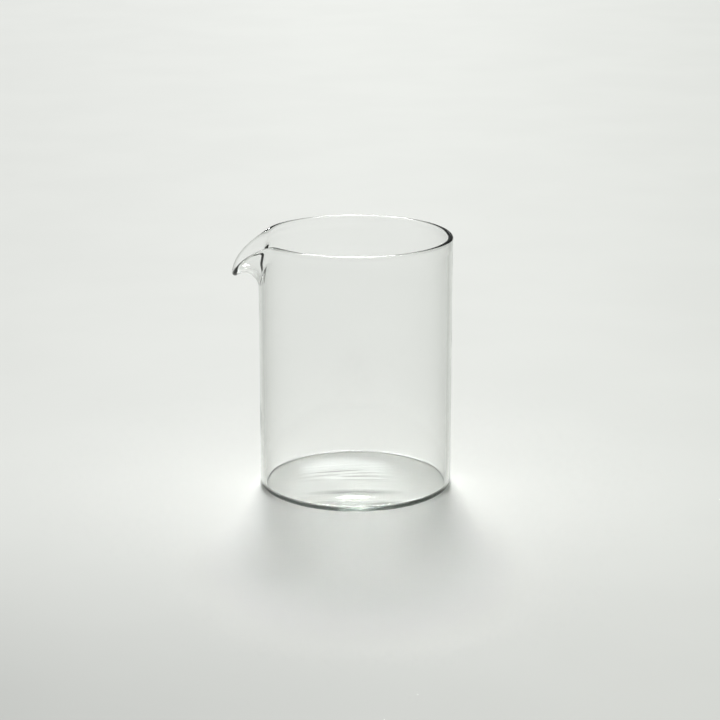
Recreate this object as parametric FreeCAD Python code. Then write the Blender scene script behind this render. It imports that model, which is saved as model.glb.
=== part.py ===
"""Small clear glass cream jug: a straight-sided beaker with a pulled pouring lip, one piece of glass.

Millimetres. +Z is up, the origin is the centre of the resting ring, and the lip points along -X.
The body is turned from a lathe profile. Above the neck line the wall is skinned through closed rings, which
carry the pulled lip: the rim dips and runs out into a drooping beak, and both skins and the fire-polished
bead keep the glass thickness measured square to the wall.
"""

import math
import os

import FreeCAD
import Part

# --- driving dimensions -------------------------------------------------------------------------------
outer_diameter = 64.0
body_height = 85.3  # table to the top of the rim, away from the lip
wall_thickness = 1.6
rim_bead_thickness = 1.9  # fire-polished rim, a little thicker than the wall
bead_run = 3.0  # length of wall over which the glass thickens into the bead

base_thickness = 1.3
outer_corner_radius = 1.6
inner_corner_radius = 0.9
resting_ring_width = 0.8
punt_rise = 0.6  # hollow under the base, at its centre
floor_crown = 1.0  # how far the inside floor rises at its centre

lip_reach = 8.5  # how far the rim's centreline runs out past the round rim
lip_drop = 11.0  # how far it falls below the round rim
lip_depth = 4.5  # wall below the rim that is drawn out into the lip
lip_droop_deg = 32.0  # the beak's end points this far below level
lip_half_angle_deg = 17.0  # azimuth at which the reach has fallen to 1/e
lip_flatness = 3.0  # above 2 gives a blunter beak with steeper flanks
dip_half_angle_deg = 15.0  # the same for the drop, which spreads as a plain bell
turn_half_angle_deg = 13.0  # the same for the outward turn of the wall
root_pull = 0.205  # length of the curve's handles, as shares of its chord
tip_pull = 0.615

# --- sampling of the skinned rings --------------------------------------------------------------------
ring_points = 72
skin_rings = 15
bead_rings = 9
small_angle = 0.02  # step for the surface's derivatives, in degrees
small_share = 1e-4
joining_tolerance = 0.001  # between the turned circles and the skinned ones

# --- sizes that follow --------------------------------------------------------------------------------
outer_radius = outer_diameter / 2
inner_radius = outer_radius - wall_thickness
middle_radius = outer_radius - wall_thickness / 2
bead_radius = rim_bead_thickness / 2
rim_level = body_height - bead_radius  # centreline of the bead
neck_level = rim_level - lip_drop - lip_depth - rim_bead_thickness
lip_azimuth_deg = 180.0

Z_AXIS = FreeCAD.Vector(0, 0, 1)
ORIGIN = FreeCAD.Vector(0, 0, 0)


def bell(azimuth_deg, half_angle_deg, flatness=2.0):
    """1 at the lip's middle, falling smoothly to nothing round the rim."""
    turn = abs((azimuth_deg + 180.0) % 360.0 - 180.0)
    return math.exp(-((turn / half_angle_deg) ** flatness))


def rim_point(azimuth_deg):
    """Radius and height of the bead's centreline at an azimuth measured from the lip."""
    radius = middle_radius + lip_reach * bell(azimuth_deg, lip_half_angle_deg, lip_flatness)
    return radius, rim_level - lip_drop * bell(azimuth_deg, dip_half_angle_deg)


def middle_surface(azimuth_deg, share):
    """Point midway through the wall: share 0 is the neck line and 1 is the bead's centreline.

    The first stretch is straight wall, and the rest is a cubic curve that leaves the wall upright
    and reaches the rim at its own slope.
    """
    rim_radius, rim_height = rim_point(azimuth_deg)
    root_height = rim_height - lip_depth
    straight = (root_height - neck_level) / (rim_height - neck_level)
    if share <= straight:
        radius = middle_radius
        height = neck_level + (root_height - neck_level) * share / straight
    else:
        t = (share - straight) / (1.0 - straight)
        slope = math.radians(90.0 - (90.0 + lip_droop_deg) * bell(azimuth_deg, turn_half_angle_deg))
        chord = math.hypot(rim_radius - middle_radius, lip_depth)
        stations = (
            (middle_radius, root_height),
            (middle_radius, root_height + root_pull * chord),
            (
                rim_radius - tip_pull * chord * math.cos(slope),
                rim_height - tip_pull * chord * math.sin(slope),
            ),
            (rim_radius, rim_height),
        )
        weights = ((1 - t) ** 3, 3 * t * (1 - t) ** 2, 3 * t * t * (1 - t), t**3)
        radius = sum(w * s[0] for w, s in zip(weights, stations))
        height = sum(w * s[1] for w, s in zip(weights, stations))
    turn = math.radians(lip_azimuth_deg + azimuth_deg)
    return FreeCAD.Vector(radius * math.cos(turn), radius * math.sin(turn), height)


def skin_offset(azimuth_deg, share):
    """Half the glass thickness, which grows from the wall's to the bead's as the rim comes near."""
    rim_height = rim_point(azimuth_deg)[1]
    run = (rim_height - neck_level) * (1.0 - share)
    blend = max(0.0, 1.0 - run / bead_run)
    return (wall_thickness + (rim_bead_thickness - wall_thickness) * blend**2) / 2


def section_axes(azimuth_deg, share):
    """Unit vectors square to the wall, pointing outwards, and along it, pointing to the rim."""
    along = middle_surface(azimuth_deg, share + small_share) - middle_surface(azimuth_deg, share - small_share)
    around = middle_surface(azimuth_deg + small_angle, share) - middle_surface(azimuth_deg - small_angle, share)
    outward = around.cross(along)
    outward.normalize()
    along.normalize()
    return outward, along


def ring(place):
    """A closed smooth curve through place(azimuth) at equal steps, starting behind, away from the lip."""
    step = 360.0 / ring_points
    points = [place(180.0 + step * index) for index in range(ring_points)]
    parameters = [index / ring_points for index in range(ring_points + 1)]
    curve = Part.BSplineCurve()
    curve.interpolate(Points=points, PeriodicFlag=True, Parameters=parameters)
    return curve


def skin_ring(share, side):
    """Ring on the outer skin (side 1) or the inner skin (side -1)."""

    def place(azimuth_deg):
        outward = section_axes(azimuth_deg, share)[0]
        return middle_surface(azimuth_deg, share) + outward * (side * skin_offset(azimuth_deg, share))

    return ring(place)


def bead_ring(roll_deg):
    """Ring on the rounded rim, rolled from the outer skin (0 degrees) over the top to the inner one (180)."""
    roll = math.radians(roll_deg)

    def place(azimuth_deg):
        outward, along = section_axes(azimuth_deg, 1.0)
        return middle_surface(azimuth_deg, 1.0) + (outward * math.cos(roll) + along * math.sin(roll)) * bead_radius

    return ring(place)


def skin_over(rings):
    """One smooth face through rings that share their knots, each pole carried from ring to ring by a spline."""
    pole_rows = [curve.getPoles() for curve in rings]
    stations = [0.0]
    for row, following in zip(pole_rows, pole_rows[1:]):
        gaps = [pole.distanceToPoint(other) for pole, other in zip(row, following)]
        stations.append(stations[-1] + sum(gaps) / ring_points)
    columns = []
    for poles in zip(*pole_rows):
        column = Part.BSplineCurve()
        column.interpolate(Points=list(poles), Parameters=stations)
        columns.append(column)
    surface = Part.BSplineSurface()
    surface.buildFromPolesMultsKnots(
        [column.getPoles() for column in columns],
        rings[0].getMultiplicities(),
        columns[0].getMultiplicities(),
        rings[0].getKnots(),
        columns[0].getKnots(),
        True,
        False,
        rings[0].Degree,
        columns[0].Degree,
    )
    return surface.toShape()


def upper_wall():
    """Solid wall above the neck line: both skins and the bead as one smooth face, closed by a flat ring below."""
    shares = [index / (skin_rings - 1) for index in range(skin_rings)]
    rolls = [180.0 * (index + 1) / (bead_rings + 1) for index in range(bead_rings)]
    rings = [skin_ring(share, 1) for share in shares]
    rings += [bead_ring(roll) for roll in rolls]
    rings += [skin_ring(share, -1) for share in reversed(shares)]
    skin = skin_over(rings)
    neck_edges = sorted((edge for edge in skin.Edges if edge.isClosed()), key=lambda edge: -edge.Length)
    neck_face = Part.Face([Part.Wire([edge]) for edge in neck_edges])
    neck_face.reverse()  # it faces down, out of the glass
    return Part.Solid(Part.Shell([skin, neck_face]))


def profile_point(radius, height):
    return FreeCAD.Vector(radius, 0, height)


def shallow_arc(edge_radius, edge_level, centre_level):
    """Arc of a wide sphere from its edge to the axis, where it is level."""
    rise = centre_level - edge_level
    sphere = (edge_radius**2 + rise**2) / (2 * rise)
    half = math.asin(edge_radius / sphere) / 2
    middle = profile_point(sphere * math.sin(half), centre_level - sphere * (1 - math.cos(half)))
    return Part.Arc(profile_point(edge_radius, edge_level), middle, profile_point(0, centre_level)).toShape()


def corner_arc(radius, corner_radius, level):
    """Quarter round between the wall at this radius and the flat at this level, drawn down from the wall."""
    lean = corner_radius * (1 - math.sqrt(0.5))
    return Part.Arc(
        profile_point(radius, level + corner_radius),
        profile_point(radius - lean, level + lean),
        profile_point(radius - corner_radius, level),
    ).toShape()


def line(start, end):
    return Part.LineSegment(profile_point(*start), profile_point(*end)).toShape()


def lower_body():
    """Base, floor and straight wall up to the neck line, turned about the axis from one closed profile."""
    foot_radius = outer_radius - outer_corner_radius
    punt_radius = foot_radius - resting_ring_width
    floor_radius = inner_radius - inner_corner_radius
    floor_centre = base_thickness + floor_crown
    profile = [
        line((inner_radius, neck_level), (outer_radius, neck_level)),
        line((outer_radius, neck_level), (outer_radius, outer_corner_radius)),
        corner_arc(outer_radius, outer_corner_radius, 0),
        line((foot_radius, 0), (punt_radius, 0)),
        shallow_arc(punt_radius, 0, punt_rise),
        line((0, punt_rise), (0, floor_centre)),
        shallow_arc(floor_radius, base_thickness, floor_centre),
        corner_arc(inner_radius, inner_corner_radius, base_thickness),
        line((inner_radius, base_thickness + inner_corner_radius), (inner_radius, neck_level)),
    ]
    return Part.Face(Part.Wire(Part.__sortEdges__(profile))).revolve(ORIGIN, Z_AXIS, 360)


def make_jug():
    return lower_body().fuse([upper_wall()], joining_tolerance)


os.makedirs("parts", exist_ok=True)
jug = make_jug().Solids[0]
box = jug.optimalBoundingBox()
print("jug valid", jug.isValid(), "closed", jug.isClosed(), "faces", len(jug.Faces))
print("glass volume cm3", round(jug.Volume / 1000, 2))
print("box", [round(v, 2) for v in (box.XMin, box.XMax, box.YMin, box.YMax, box.ZMin, box.ZMax)])
jug.exportStep("parts/jug.step")
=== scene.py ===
import math

import bpy
import numpy as np
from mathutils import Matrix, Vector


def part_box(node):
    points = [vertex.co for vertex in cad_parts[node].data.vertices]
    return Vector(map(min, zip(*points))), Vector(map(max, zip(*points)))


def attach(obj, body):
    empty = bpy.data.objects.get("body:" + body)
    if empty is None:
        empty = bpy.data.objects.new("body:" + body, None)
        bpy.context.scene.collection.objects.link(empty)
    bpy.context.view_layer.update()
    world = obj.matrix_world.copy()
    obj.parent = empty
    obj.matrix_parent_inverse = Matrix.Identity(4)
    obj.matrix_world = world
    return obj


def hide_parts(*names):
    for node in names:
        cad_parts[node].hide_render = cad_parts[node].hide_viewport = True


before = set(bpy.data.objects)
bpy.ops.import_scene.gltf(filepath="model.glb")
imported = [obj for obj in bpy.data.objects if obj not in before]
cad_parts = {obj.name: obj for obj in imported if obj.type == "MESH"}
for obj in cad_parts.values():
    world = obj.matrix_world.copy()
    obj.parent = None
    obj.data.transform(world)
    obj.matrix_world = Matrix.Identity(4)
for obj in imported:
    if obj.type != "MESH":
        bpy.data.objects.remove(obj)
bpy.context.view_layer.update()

# A small clear glass cream jug with a pulled pouring lip, on a pale studio floor.
# Metres throughout. The lip points along -X and the jug stands on z = 0.

jugLow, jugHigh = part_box("jug")

glassForm = {
    "wallThickness": 0.0016,
    "beadThickness": 0.0019,    # fire-polished rim
    "beadRun": 0.003,           # length over which the wall thickens into the bead
    "baseThickness": 0.0013,
    "outerCorner": 0.0016,
    "innerCorner": 0.0009,
    "restingRing": 0.0008,
    "puntRise": 0.0006,         # hollow under the base
    "floorCrown": 0.001,
    "lipDrop": 0.011,
    "lipDepth": 0.0045,
    "lipDroop": 32.0,           # degrees below level at the end of the beak
    "reachAngle": 17.0,         # azimuth in degrees where each bell has fallen to 1/e
    "reachPower": 3.0,
    "dipAngle": 15.0,
    "turnAngle": 13.0,
    "rootPull": 0.205,
    "tipPull": 0.615,
    "azimuthSteps": 430,
    "azimuthPull": 0.6,
    "puntRows": 20,
    "ringRows": 4,
    "cornerRows": 10,
    "wallRows": 6,
    "lipRows": 44,
    "beadRows": 18,
    "floorRows": 60,
    "rippleSkew": 25.0,         # how fast a ripple's phase runs along its own middle line
    "floorRipples": [           # place, half size, wavelength, rise, turn in degrees
        ((-0.0045, 0.0050), (0.010, 0.0050), 0.0036, 0.000035, 6.0),
        ((0.0010, -0.0010), (0.009, 0.0040), 0.0042, 0.00003, -4.0),
    ],
    "underRipples": [
        ((-0.0015, -0.0195), (0.0110, 0.0048), 0.012, 0.00020, 0.0),
    ],
}


def bell(azimuth, halfAngle, power=2.0):
    # exp of minus (angle over half angle) to the power: 1 at the lip, nothing round the back
    return np.exp(-(np.abs(azimuth) / math.radians(halfAngle)) ** power)


def rimLine(form, azimuth):
    # the bead's centre: the round rim plus a bell outwards and minus a bell downwards
    outward = bell(azimuth, form["reachAngle"], form["reachPower"])
    radius = form["middleRadius"] + form["lipReach"] * outward
    height = form["rimLevel"] - form["lipDrop"] * bell(azimuth, form["dipAngle"])
    return radius, height


def middleWall(form, azimuth, share):
    # Midway through the glass. share 0 is the neck line and 1 the bead's centre.
    # First a straight upright stretch, then a cubic curve from the wall, upright there, to the rim,
    # where it has the rim's own slope: 90 degrees round the back, and past level at the lip.
    rimRadius, rimHeight = rimLine(form, azimuth)
    rootHeight = rimHeight - form["lipDepth"]
    straight = (rootHeight - form["neckLevel"]) / (rimHeight - form["neckLevel"])
    t = np.maximum((share - straight) / (1.0 - straight), 0.0)
    slope = np.radians(90.0 - (90.0 + form["lipDroop"]) * bell(azimuth, form["turnAngle"]))
    chord = np.hypot(rimRadius - form["middleRadius"], form["lipDepth"])
    weights = ((1 - t) ** 3, 3 * t * (1 - t) ** 2, 3 * t * t * (1 - t), t ** 3)
    radii = (form["middleRadius"], form["middleRadius"],
             rimRadius - form["tipPull"] * chord * np.cos(slope), rimRadius)
    heights = (rootHeight, rootHeight + form["rootPull"] * chord,
               rimHeight - form["tipPull"] * chord * np.sin(slope), rimHeight)
    curvedRadius = sum(w * r for w, r in zip(weights, radii))
    curvedHeight = sum(w * h for w, h in zip(weights, heights))
    uprightHeight = form["neckLevel"] + (rimHeight - form["neckLevel"]) * share
    low = share <= straight
    radius = np.where(low, form["middleRadius"], curvedRadius)
    height = np.where(low, uprightHeight, curvedHeight)
    turn = azimuth + math.pi
    return np.stack((radius * np.cos(turn), radius * np.sin(turn), height), axis=-1)


def wallAxes(form, azimuth, share):
    # unit vectors square to the wall and along it, from small central differences
    step = 1e-4
    along = middleWall(form, azimuth, share + step) - middleWall(form, azimuth, share - step)
    around = middleWall(form, azimuth + step, share) - middleWall(form, azimuth - step, share)
    outward = np.cross(around, along)
    outward /= np.linalg.norm(outward, axis=-1, keepdims=True)
    along /= np.linalg.norm(along, axis=-1, keepdims=True)
    return outward, along


def skinRows(form, azimuth, share, side):
    # the middle wall moved half a thickness square to itself, thicker near the bead
    rimHeight = rimLine(form, azimuth)[1]
    run = (rimHeight - form["neckLevel"]) * (1.0 - share)
    blend = np.clip(1.0 - run / form["beadRun"], 0.0, 1.0) ** 2
    half = (form["wallThickness"] + (form["beadThickness"] - form["wallThickness"]) * blend) / 2
    outward = wallAxes(form, azimuth, share)[0]
    return middleWall(form, azimuth, share) + outward * (side * half)[..., None]


def beadRows(form, azimuth, roll):
    # a half circle about the rim line, from the outer skin over the top to the inner skin
    outward, along = wallAxes(form, azimuth, np.ones_like(azimuth * roll))
    centre = middleWall(form, azimuth, np.ones_like(azimuth * roll))
    reach = form["beadThickness"] / 2
    return centre + reach * (outward * np.cos(roll)[..., None] + along * np.sin(roll)[..., None])


def turnedRows(azimuth, radius, height):
    # a lathe profile carried round the axis
    turn = azimuth + math.pi
    return np.stack((radius * np.cos(turn), radius * np.sin(turn), height + 0.0 * turn), axis=-1)


def capProfile(edgeRadius, edgeLevel, centreLevel, rows):
    # a wide shallow bowl or dome: level at the axis, falling with the square of the radius
    radius = edgeRadius * (np.arange(rows) + 1.0) / rows
    return radius, centreLevel + (edgeLevel - centreLevel) * (radius / edgeRadius) ** 2


def rippled(form, points, ripples):
    # hand-made glass: each ripple is a sine across its own middle line,
    # fading as exp of minus the distance squared
    points = np.array(points, float)
    lift = 0.0
    for (left, front), (halfWide, halfDeep), wave, rise, turn in ripples:
        turned = math.radians(turn)
        x = points[..., 0] - left
        y = points[..., 1] - front
        along = x * math.cos(turned) + y * math.sin(turned)
        across = y * math.cos(turned) - x * math.sin(turned)
        fade = np.exp(-(along / halfWide) ** 2 - (across / halfDeep) ** 2)
        lift = lift + rise * fade * np.sin(2 * math.pi * across / wave + form["rippleSkew"] * along)
    points[..., 2] += lift
    return points


def cornerProfile(wallRadius, corner, level, rows):
    # a quarter round from the flat up to the wall, both ends left out
    angle = 0.5 * math.pi * np.arange(1, rows) / rows
    return wallRadius - corner + corner * np.sin(angle), level + corner * (1.0 - np.cos(angle))


def jugRows(form):
    # every row of the closed skin: under the base, up the outside, over the rim, down to the floor
    even = (np.arange(form["azimuthSteps"]) / form["azimuthSteps"] * 2.0 - 1.0) * math.pi
    azimuth = (even - form["azimuthPull"] * np.sin(even))[None, :]    # closer steps towards the lip
    outer, inner = form["outerRadius"], form["innerRadius"]
    footRadius = outer - form["outerCorner"]
    puntRadius = footRadius - form["restingRing"]
    floorRadius = inner - form["innerCorner"]
    punt = capProfile(puntRadius, 0.0, form["puntRise"], form["puntRows"])
    ringRadius = np.linspace(puntRadius, footRadius, form["ringRows"] + 1)[1:]
    outside = cornerProfile(outer, form["outerCorner"], 0.0, form["cornerRows"])
    wallUp = np.linspace(form["outerCorner"], form["neckLevel"], form["wallRows"] + 1)[:-1]
    share = np.linspace(0.0, 1.0, form["lipRows"] + 1)[:, None]
    roll = math.pi * (np.arange(1, form["beadRows"]) / form["beadRows"])[:, None]
    innerLow = form["baseThickness"] + form["innerCorner"]
    wallDown = np.linspace(form["neckLevel"], innerLow, form["wallRows"] + 1)[1:]
    inside = cornerProfile(inner, form["innerCorner"], form["baseThickness"], form["cornerRows"])
    floorCentre = form["baseThickness"] + form["floorCrown"]
    floor = capProfile(floorRadius, form["baseThickness"], floorCentre, form["floorRows"])

    def turned(radius, height):
        return turnedRows(azimuth, np.atleast_1d(radius)[:, None], np.atleast_1d(height)[:, None])

    rows = [
        rippled(form, turned(*punt), form["underRipples"]),
        turned(ringRadius, 0.0 * ringRadius),
        turned(*outside),
        turned(outer + 0.0 * wallUp, wallUp),
        skinRows(form, azimuth + 0.0 * share, share + 0.0 * azimuth, 1.0),
        beadRows(form, azimuth + 0.0 * roll, roll + 0.0 * azimuth),
        skinRows(form, azimuth + 0.0 * share, share + 0.0 * azimuth, -1.0)[::-1],
        turned(inner + 0.0 * wallDown, wallDown),
        turned(inside[0][::-1], inside[1][::-1]),
        rippled(form, turned(floor[0][::-1], floor[1][::-1]), form["floorRipples"]),
    ]
    return np.concatenate(rows, axis=0)


def closedMesh(name, rows, startPole, endPole):
    # quads between neighbouring rows, wrapped round, with a fan of triangles at each pole
    rowCount, columnCount = rows.shape[:2]
    points = np.concatenate((rows.reshape(-1, 3), [startPole, endPole]))
    index = np.arange(rowCount * columnCount).reshape(rowCount, columnCount)
    following = np.roll(index, -1, axis=1)
    quads = np.stack((index[:-1], following[:-1], following[1:], index[1:]), axis=-1).reshape(-1, 4)
    first = len(points) - 2
    startFan = np.stack((np.full(columnCount, first), following[0], index[0]), axis=-1)
    endFan = np.stack((np.full(columnCount, first + 1), index[-1], following[-1]), axis=-1)
    mesh = bpy.data.meshes.new(name)
    mesh.from_pydata(points.tolist(), [], quads.tolist() + startFan.tolist() + endFan.tolist())
    mesh.validate()
    mesh.polygons.foreach_set("use_smooth", np.ones(len(mesh.polygons), bool))
    mesh.update()
    piece = bpy.data.objects.new(name, mesh)
    bpy.context.scene.collection.objects.link(piece)
    return piece


def makeJug(form):
    form["rimLevel"] = jugHigh[2] - form["beadThickness"] / 2
    form["middleRadius"] = jugHigh[1] - form["beadThickness"] / 2
    form["outerRadius"] = form["middleRadius"] + form["wallThickness"] / 2
    form["innerRadius"] = form["middleRadius"] - form["wallThickness"] / 2
    form["lipReach"] = -jugLow[0] - form["beadThickness"] / 2 - form["middleRadius"]
    lipHeight = form["lipDrop"] + form["lipDepth"] + form["beadThickness"]
    form["neckLevel"] = form["rimLevel"] - lipHeight
    floorCentre = form["baseThickness"] + form["floorCrown"]
    underPole = rippled(form, (0.0, 0.0, form["puntRise"]), form["underRipples"])
    floorPole = rippled(form, (0.0, 0.0, floorCentre), form["floorRipples"])
    return closedMesh("jug_glass", jugRows(form), underPole, floorPole)


glassFinish = {
    "colour": (1.0, 1.0, 1.0, 1.0),
    "indexOfRefraction": 1.47,
    "roughness": 0.0,
    "tint": (0.72, 0.78, 0.735, 1.0),
    "tintDensity": 26.0,
    "waveScale": 46.0,          # blown glass is never quite even: broad faint waves
    "waveDetail": 1.0,
    "waveDepth": 0.00006,
}


def glassMaterial(finish):
    material = bpy.data.materials.new("clearGlass")
    material.use_nodes = True
    tree = material.node_tree
    shader = tree.nodes["Principled BSDF"]
    shader.inputs["Base Color"].default_value = finish["colour"]
    shader.inputs["Transmission Weight"].default_value = 1.0
    shader.inputs["Roughness"].default_value = finish["roughness"]
    shader.inputs["IOR"].default_value = finish["indexOfRefraction"]
    absorption = tree.nodes.new("ShaderNodeVolumeAbsorption")
    absorption.inputs["Color"].default_value = finish["tint"]
    absorption.inputs["Density"].default_value = finish["tintDensity"]
    tree.links.new(absorption.outputs[0], tree.nodes["Material Output"].inputs["Volume"])
    place = tree.nodes.new("ShaderNodeTexCoord")
    waves = tree.nodes.new("ShaderNodeTexNoise")
    waves.inputs["Scale"].default_value = finish["waveScale"]
    waves.inputs["Detail"].default_value = finish["waveDetail"]
    tree.links.new(place.outputs["Object"], waves.inputs["Vector"])
    relief = tree.nodes.new("ShaderNodeBump")
    relief.inputs["Strength"].default_value = 1.0
    relief.inputs["Distance"].default_value = finish["waveDepth"]
    tree.links.new(waves.outputs["Fac"], relief.inputs["Height"])
    tree.links.new(relief.outputs["Normal"], shader.inputs["Normal"])
    return material


floorFinish = {
    "size": 12.0,
    "gap": 0.00012,
    # The four colours paint a falloff of light into the floor: darker at the front left, lighter at
    # the back right. This is painted shade, not the floor's own colour.
    "farLeftFalloffColour": (0.640, 0.659, 0.617, 1.0),
    "farRightFalloffColour": (0.715, 0.737, 0.689, 1.0),
    "nearLeftFalloffColour": (0.435, 0.451, 0.420, 1.0),
    "nearRightFalloffColour": (0.665, 0.684, 0.640, 1.0),
    "nearEdge": -0.21,          # painted shade: toward the front the floor's colour darkens between these two lines, standing in for the lamp's falloff
    "farEdge": 0.01,
    "sideEdge": 0.14,           # and turns from its darker painted left shade to its lighter right one over twice this
    # the floor's gloss also falls toward the front, along with the painted shade
    "nearGloss": 0.5,
    "farGloss": 0.8,
    "roughness": 0.5,
    "mottleScale": 14.0,
    "mottleDetail": 3.0,
    "mottleFrom": 0.3,          # the stretch of the noise that is used
    "mottleTo": 0.7,
    "mottleDepth": 0.012,
}


def makeFloor(values):
    half = values["size"] / 2
    level = -values["gap"]    # a hair below the glass, which only touches at its high spots
    corners = [(-half, -half, level), (half, -half, level),
               (half, half, level), (-half, half, level)]
    mesh = bpy.data.meshes.new("floor")
    mesh.from_pydata(corners, [], [(0, 1, 2, 3)])
    floor = bpy.data.objects.new("floor", mesh)
    bpy.context.scene.collection.objects.link(floor)
    material = bpy.data.materials.new("paleFloor")
    material.use_nodes = True
    nodes = material.node_tree.nodes
    links = material.node_tree.links
    shader = nodes["Principled BSDF"]
    place = nodes.new("ShaderNodeTexCoord")
    parts = nodes.new("ShaderNodeSeparateXYZ")
    links.new(place.outputs["Object"], parts.inputs[0])

    def ramp(source, first, last, low, high):
        node = nodes.new("ShaderNodeMapRange")
        node.interpolation_type = "SMOOTHSTEP"
        for key, value in (("From Min", first), ("From Max", last),
                           ("To Min", low), ("To Max", high)):
            node.inputs[key].default_value = value
        links.new(source, node.inputs["Value"])
        return node.outputs["Result"]

    def blend(share, low, high):
        node = nodes.new("ShaderNodeMix")
        node.data_type = "RGBA"
        links.new(share, node.inputs["Factor"])
        for socket, value in ((node.inputs["A"], low), (node.inputs["B"], high)):
            if isinstance(value, tuple):
                socket.default_value = value
            else:
                links.new(value, socket)
        return node.outputs["Result"]

    # painted shade: the floor's colour darkens toward the front and toward the left, standing in
    # for the lamp's falloff of light
    depth = ramp(parts.outputs["Y"], values["nearEdge"], values["farEdge"], 0.0, 1.0)
    side = ramp(parts.outputs["X"], -values["sideEdge"], values["sideEdge"], 0.0, 1.0)
    near = blend(side, values["nearLeftFalloffColour"], values["nearRightFalloffColour"])
    far = blend(side, values["farLeftFalloffColour"], values["farRightFalloffColour"])
    colour = blend(depth, near, far)
    mottle = nodes.new("ShaderNodeTexNoise")
    mottle.inputs["Scale"].default_value = values["mottleScale"]
    mottle.inputs["Detail"].default_value = values["mottleDetail"]
    links.new(place.outputs["Object"], mottle.inputs["Vector"])
    shade = ramp(mottle.outputs["Fac"], values["mottleFrom"], values["mottleTo"],
                 1.0 - values["mottleDepth"], 1.0 + values["mottleDepth"])
    tone = nodes.new("ShaderNodeVectorMath")
    tone.operation = "SCALE"
    links.new(colour, tone.inputs[0])
    links.new(shade, tone.inputs["Scale"])
    links.new(tone.outputs[0], shader.inputs["Base Color"])
    gloss = nodes.new("ShaderNodeMath")
    gloss.operation = "MULTIPLY"
    # the gloss is lowered toward the front along with the painted shade, darkening the front of the
    # floor further
    glossDepth = ramp(parts.outputs["Y"], values["nearEdge"], values["farEdge"],
                      values["nearGloss"], values["farGloss"])
    links.new(glossDepth, gloss.inputs[0])
    links.new(shade, gloss.inputs[1])
    links.new(gloss.outputs[0], shader.inputs["Specular IOR Level"])
    shader.inputs["Roughness"].default_value = values["roughness"]
    mesh.materials.append(material)
    return floor


def aim(thing, target):
    # turn the -Z axis of a lamp or a camera to the target, with its Y axis up
    away = np.array(thing.location) - np.array(target)
    flat = math.hypot(away[0], away[1])
    thing.rotation_euler = (math.atan2(flat, away[2]), 0.0, math.atan2(away[0], -away[1]))


studioLight = {
    "lampRise": 47.0,           # degrees above the floor, behind the jug
    "lampTurn": -1.0,           # degrees toward the lip's side
    "lampAway": 3.0,
    "lampSpread": 20.0,
    "lampStrength": 3.15,
    "roomColour": (0.95, 0.98, 0.96, 1.0),
    "roomLow": 0.12,            # what the glass shows of the room, level with the jug
    "roomHigh": 0.55,           # and overhead
    "roomRiseFrom": 0.3,        # the sines of the heights between which it brightens
    "roomRiseTo": 0.8,
    "glowRise": 16.5,           # a soft glow low behind the jug
    "glowTurn": -3.0,
    "glowInner": 1.0,
    "glowOuter": 4.5,
    "glowLevel": 1.2,
    "roomFill": 0.05,           # the room's own light on matt surfaces
}


def skyward(rise, turn):
    # unit vector to a spot that high above the floor, turned from behind the jug toward the lip
    up = math.radians(rise)
    side = math.radians(turn)
    return (-math.cos(up) * math.sin(side), math.cos(up) * math.cos(side), math.sin(up))


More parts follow.
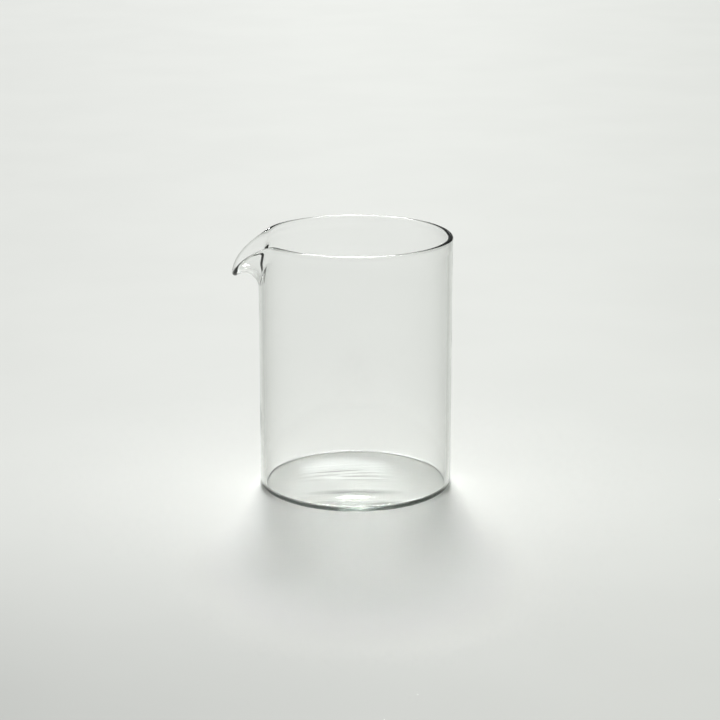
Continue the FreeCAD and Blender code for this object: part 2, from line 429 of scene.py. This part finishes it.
def makeLights(values):
    data = bpy.data.lights.new("softLamp", "SUN")
    data.angle = math.radians(values["lampSpread"])
    data.energy = values["lampStrength"]
    lamp = bpy.data.objects.new("softLamp", data)
    lamp.location = values["lampAway"] * np.array(skyward(values["lampRise"], values["lampTurn"]))
    bpy.context.scene.collection.objects.link(lamp)
    aim(lamp, (0.0, 0.0, 0.0))
    world = bpy.data.worlds.new("studio")
    world.use_nodes = True
    nodes = world.node_tree.nodes
    links = world.node_tree.links
    place = nodes.new("ShaderNodeTexCoord")
    parts = nodes.new("ShaderNodeSeparateXYZ")
    links.new(place.outputs["Generated"], parts.inputs[0])
    overhead = nodes.new("ShaderNodeMapRange")
    overhead.interpolation_type = "SMOOTHSTEP"
    overhead.inputs["From Min"].default_value = values["roomRiseFrom"]
    overhead.inputs["From Max"].default_value = values["roomRiseTo"]
    overhead.inputs["To Min"].default_value = values["roomLow"]
    overhead.inputs["To Max"].default_value = values["roomHigh"]
    links.new(parts.outputs["Z"], overhead.inputs["Value"])
    toward = nodes.new("ShaderNodeVectorMath")
    toward.operation = "DOT_PRODUCT"
    toward.inputs[1].default_value = skyward(values["glowRise"], values["glowTurn"])
    links.new(place.outputs["Generated"], toward.inputs[0])
    glow = nodes.new("ShaderNodeMapRange")
    glow.interpolation_type = "SMOOTHSTEP"
    glow.inputs["From Min"].default_value = math.cos(math.radians(values["glowOuter"]))
    glow.inputs["From Max"].default_value = math.cos(math.radians(values["glowInner"]))
    glow.inputs["To Max"].default_value = values["glowLevel"]
    links.new(toward.outputs["Value"], glow.inputs["Value"])
    room = nodes.new("ShaderNodeMath")
    links.new(overhead.outputs["Result"], room.inputs[0])
    links.new(glow.outputs["Result"], room.inputs[1])
    path = nodes.new("ShaderNodeLightPath")
    strength = nodes.new("ShaderNodeMix")    # matt light is the fill, glass shows the room
    strength.inputs["B"].default_value = values["roomFill"]
    links.new(path.outputs["Is Diffuse Ray"], strength.inputs["Factor"])
    links.new(room.outputs[0], strength.inputs["A"])
    background = nodes["Background"]
    background.inputs["Color"].default_value = values["roomColour"]
    links.new(strength.outputs["Result"], background.inputs["Strength"])
    bpy.context.scene.world = world


cameraView = {
    "lens": 116.51,
    "sensor": 36.0,
    "distance": 0.77673,
    "pitch": 15.804,
    "turn": -4.0,           # degrees about the jug's axis, so that the lip comes a little forward
    "side": 0.001471,       # the jug's axis lies this far left of the view's middle
    "aimHeight": 0.04264,
    "clipStart": 0.01,
}


def makeCamera(view):
    data = bpy.data.cameras.new("view")
    data.lens = view["lens"]
    data.sensor_width = view["sensor"]
    data.clip_start = view["clipStart"]
    camera = bpy.data.objects.new("view", data)
    bpy.context.scene.collection.objects.link(camera)
    turn = math.radians(view["turn"])
    pitch = math.radians(view["pitch"])
    across = np.array((math.cos(turn), math.sin(turn), 0.0))
    back = np.array((math.sin(turn) * math.cos(pitch), -math.cos(turn) * math.cos(pitch),
                     math.sin(pitch)))
    target = view["side"] * across + np.array((0.0, 0.0, view["aimHeight"]))
    camera.location = target + view["distance"] * back
    aim(camera, target)
    bpy.context.scene.camera = camera


lightPaths = {
    "bounces": 32,
    "glossBounces": 12,         # enough for light that runs along inside the wall
    "throughBounces": 24,
}


def setPaths(values):
    # light passes through the glass unblurred and undimmed
    cycles = bpy.context.scene.cycles
    cycles.blur_glossy = 0.0
    cycles.sample_clamp_indirect = 0.0
    cycles.max_bounces = values["bounces"]
    cycles.glossy_bounces = values["glossBounces"]
    cycles.transmission_bounces = values["throughBounces"]


jugGlass = makeJug(glassForm)
jugGlass.data.materials.append(glassMaterial(glassFinish))
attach(jugGlass, "root")
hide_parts("jug")
print("glass made:", len(jugGlass.data.vertices), "points")

makeFloor(floorFinish)
makeLights(studioLight)
makeCamera(cameraView)
bpy.context.scene.view_settings.view_transform = "Standard"
setPaths(lightPaths)
print("studio set")
